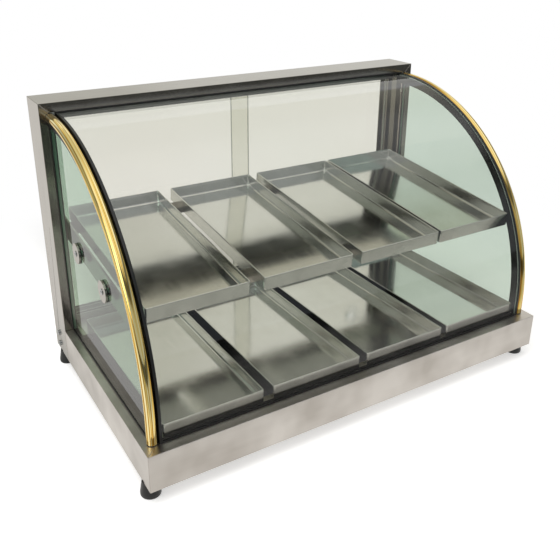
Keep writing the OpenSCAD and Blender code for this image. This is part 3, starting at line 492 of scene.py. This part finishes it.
# floor, distances in metres: pairs give where a tone starts and where it is full
# mirrorTones run from front to back over mirrorY, and mirrorLeft is the pale side on the left: a painted
# reflection, since the floor glows with them for glossy rays only
floorSet = {"half": 6, "tones": [(0, "#F0EFEC"), (1, "#F6F5F3")], "cloudMm": 500,
            # shadeFrom and shadeWide bound a painted shade close behind the object, where the glow is taken
            # away
            "glow": 0.5, "shadeFrom": (0.24, 0.34), "shadeWide": (0.37, 0.23), "white": (0.5, 1.1),
            "mirrorTones": [(0, "#4E504E"), (0.3, "#5A5C5A"), (0.45, "#B6B7B3"), (0.62, "#B6B7B3"),
                            (0.72, "#F4F2EE"), (0.86, "#F4F2EE"), (1, "#A6A7A2")],
            "mirrorY": (-1.7, 0.2), "mirrorLeft": "#F4F2EE", "leftX": (-0.36, -0.46),
            "leftY": (-0.45, -0.3)}


def makeFloor(given):
    # pale sheet: to the eye it glows a little near the object and turns plain white further off; in a patch
    # close behind the object the glow is taken away, a painted shade over the shadow that falls there
    # in shiny metal it shows a painted reflection, glowing only for glossy rays: dark far in front, pale
    # close in front and on the left, and grey behind
    mat, tree = newMaterial("paleStudioFloor")
    place = addNode(tree, "ShaderNodeTexCoord")
    spot = addNode(tree, "ShaderNodeSeparateXYZ", links={"Vector": (place, "Object")})
    path = addNode(tree, "ShaderNodeLightPath")
    cloud = addNode(tree, "ShaderNodeTexNoise", values={"Scale": 1000 / given["cloudMm"]},
                    links={"Vector": (place, "Object")})
    tone = addNode(tree, "ShaderNodeValToRGB", links={"Fac": (cloud, "Fac")})
    rampColours(tone, given["tones"])
    dull = addNode(tree, "ShaderNodeBsdfDiffuse", links={"Color": (tone, "Color")})
    # painted shade: the glow is taken away in a box close behind the object
    across = addNode(tree, "ShaderNodeMath", {"operation": "ABSOLUTE"}, links={0: (spot, "X")})
    behind = addNode(tree, "ShaderNodeMapRange", eased, between(given["shadeFrom"]), {"Value": (spot, "Y")})
    within = addNode(tree, "ShaderNodeMapRange", eased, between(given["shadeWide"]),
                     {"Value": (across, "Value")})
    shade = addNode(tree, "ShaderNodeMath", {"operation": "MULTIPLY"},
                    links={0: (behind, "Result"), 1: (within, "Result")})
    lift = addNode(tree, "ShaderNodeMapRange", values=between((0, 1), given["glow"], 0),
                   links={"Value": (shade, "Value")})
    lit = addNode(tree, "ShaderNodeMath", {"operation": "MULTIPLY"},
                  links={0: (path, "Is Camera Ray"), 1: (lift, "Result")})
    glow = addNode(tree, "ShaderNodeEmission", links={"Strength": (lit, "Value")})
    near = addNode(tree, "ShaderNodeAddShader", links={0: (dull, "BSDF"), 1: (glow, "Emission")})
    away = addNode(tree, "ShaderNodeVectorMath", {"operation": "LENGTH"}, links={0: (place, "Object")})
    fade = addNode(tree, "ShaderNodeMapRange", eased, between(given["white"]), {"Value": (away, "Value")})
    far = addNode(tree, "ShaderNodeMath", {"operation": "MULTIPLY"},
                  links={0: (fade, "Result"), 1: (path, "Is Camera Ray")})
    white = addNode(tree, "ShaderNodeEmission")
    seen = addNode(tree, "ShaderNodeMixShader",
                   links={0: (far, "Value"), 1: (near, "Shader"), 2: (white, "Emission")})
    # painted reflection: the tones the floor glows with for glossy rays
    depth = addNode(tree, "ShaderNodeMapRange", values=between(given["mirrorY"]),
                    links={"Value": (spot, "Y")})
    sheet = addNode(tree, "ShaderNodeValToRGB", links={"Fac": (depth, "Result")})
    rampColours(sheet, given["mirrorTones"])
    left = addNode(tree, "ShaderNodeMapRange", eased, between(given["leftX"]), {"Value": (spot, "X")})
    beside = addNode(tree, "ShaderNodeMapRange", eased, between(given["leftY"]), {"Value": (spot, "Y")})
    pale = addNode(tree, "ShaderNodeMath", {"operation": "MULTIPLY"},
                   links={0: (left, "Result"), 1: (beside, "Result")})
    room = addNode(tree, "ShaderNodeMix", {"data_type": "RGBA"}, {7: linear(given["mirrorLeft"])},
                   {"Factor": (pale, "Value"), 6: (sheet, "Color")})
    mirrored = addNode(tree, "ShaderNodeEmission", links={"Color": (room, 2)})
    both = addNode(tree, "ShaderNodeMixShader",
                   links={0: (path, "Is Glossy Ray"), 1: (seen, "Shader"), 2: (mirrored, "Emission")})
    addNode(tree, "ShaderNodeOutputMaterial", links={"Surface": (both, "Shader")})
    half = given["half"]
    mesh = bpy.data.meshes.new("studioFloor")
    mesh.from_pydata([(-half, -half, 0), (half, -half, 0), (half, half, 0), (-half, half, 0)], [],
                     [(0, 1, 2, 3)])
    floor = bpy.data.objects.new("studioFloor", mesh)
    floor.data.materials.append(mat)
    bpy.context.scene.collection.objects.link(floor)


# world, by direction: behind runs by slope from 0 to slopeTop, front by height from 0 to 1
worldSet = {"behind": [(0, "#ECECE7"), (0.31, "#ECECE7"), (0.36, "#FFFFFF"), (0.4, "#FFFFFF"),
                       (0.43, "#DBD8CA"), (1, "#DEDCD3")],
            "slopeTop": 2, "flattest": 0.02, "dim": "#EEEEEB", "dimX": (0.42, 0.3),
            "left": "#A2A6A2", "leftX": (-0.38, -0.48),
            "front": [(0, "#ACB1B6"), (0.4, "#ACB1B6"), (0.5, "#5C5E5D"), (0.62, "#5C5E5D"),
                      (0.74, "#FFFFFF")],
            "behindY": (0.1, 0.5), "level": 0.6}


def makeWorld(given):
    # plain white to the eye, and a soft even light at the given level
    # metal and glass see a pale wall behind, white halfway up and cream above, dimmer and then grey
    # to the left, and in front a grey room with a dark strip under a white ceiling
    world = bpy.data.worlds.new("brightShop")
    world.use_nodes = True
    tree = world.node_tree
    tree.nodes.clear()
    place = addNode(tree, "ShaderNodeTexCoord")
    way = addNode(tree, "ShaderNodeSeparateXYZ", links={"Vector": (place, "Generated")})
    back = addNode(tree, "ShaderNodeMath", {"operation": "MAXIMUM"}, {1: given["flattest"]},
                   {0: (way, "Y")})
    slope = addNode(tree, "ShaderNodeMath", {"operation": "DIVIDE"},
                    links={0: (way, "Z"), 1: (back, "Value")})
    climb = addNode(tree, "ShaderNodeMath", {"operation": "MULTIPLY"}, {1: 1 / given["slopeTop"]},
                    {0: (slope, "Value")})
    wall = addNode(tree, "ShaderNodeValToRGB", links={"Fac": (climb, "Value")})
    rampColours(wall, given["behind"])
    nearer = addNode(tree, "ShaderNodeMapRange", eased, between(given["dimX"]), {"Value": (way, "X")})
    dimmed = addNode(tree, "ShaderNodeMix", {"data_type": "RGBA", "blend_type": "MULTIPLY"},
                     {7: linear(given["dim"])}, {"Factor": (nearer, "Result"), 6: (wall, "Color")})
    left = addNode(tree, "ShaderNodeMapRange", eased, between(given["leftX"]), {"Value": (way, "X")})
    hind = addNode(tree, "ShaderNodeMix", {"data_type": "RGBA"}, {7: linear(given["left"])},
                   {"Factor": (left, "Result"), 6: (dimmed, 2)})
    ahead = addNode(tree, "ShaderNodeValToRGB", links={"Fac": (way, "Z")})
    rampColours(ahead, given["front"])
    depth = addNode(tree, "ShaderNodeMapRange", eased, between(given["behindY"]), {"Value": (way, "Y")})
    room = addNode(tree, "ShaderNodeMix", {"data_type": "RGBA"},
                   links={"Factor": (depth, "Result"), 6: (ahead, "Color"), 7: (hind, 2)})
    path = addNode(tree, "ShaderNodeLightPath")
    tone = addNode(tree, "ShaderNodeMix", {"data_type": "RGBA"}, {7: (1, 1, 1, 1)},
                   {"Factor": (path, "Is Camera Ray"), 6: (room, 2)})
    seen = addNode(tree, "ShaderNodeMath", {"operation": "MAXIMUM"},
                   links={0: (path, "Is Camera Ray"), 1: (path, "Is Glossy Ray")})
    level = addNode(tree, "ShaderNodeMapRange", values=between((0, 1), given["level"], 1),
                    links={"Value": (seen, "Value")})
    sky = addNode(tree, "ShaderNodeBackground", links={"Color": (tone, 2), "Strength": (level, "Result")})
    addNode(tree, "ShaderNodeOutputWorld", links={"Surface": (sky, "Background")})
    bpy.context.scene.world = world


# softboxes: metres and watts; one that isn't mirrored leaves no bright square in glass and metal
lampSet = {"softboxAbove": {"place": (-0.6, -0.3, 2.4), "aim": (0, 0, 0.2), "size": 2.2, "power": 34,
                            "mirrored": False},
           "softboxLeft": {"place": (-2.4, -0.6, 1.3), "aim": (0, 0, 0.3), "size": 1.6, "power": 12,
                           "mirrored": True}}


def makeLamp(name, given):
    data = bpy.data.lights.new(name, "AREA")
    data.size = given["size"]
    data.energy = given["power"]
    lamp = bpy.data.objects.new(name, data)
    bpy.context.scene.collection.objects.link(lamp)
    lamp.location = given["place"]
    lamp.visible_glossy = given["mirrored"]
    lamp.rotation_euler = (Vector(given["aim"]) - lamp.location).to_track_quat("-Z", "Y").to_euler()


makeFloor(floorSet)
makeWorld(worldSet)
for name, given in lampSet.items():
    makeLamp(name, given)
bpy.context.scene.view_settings.view_transform = "Standard"
print("studio ready")
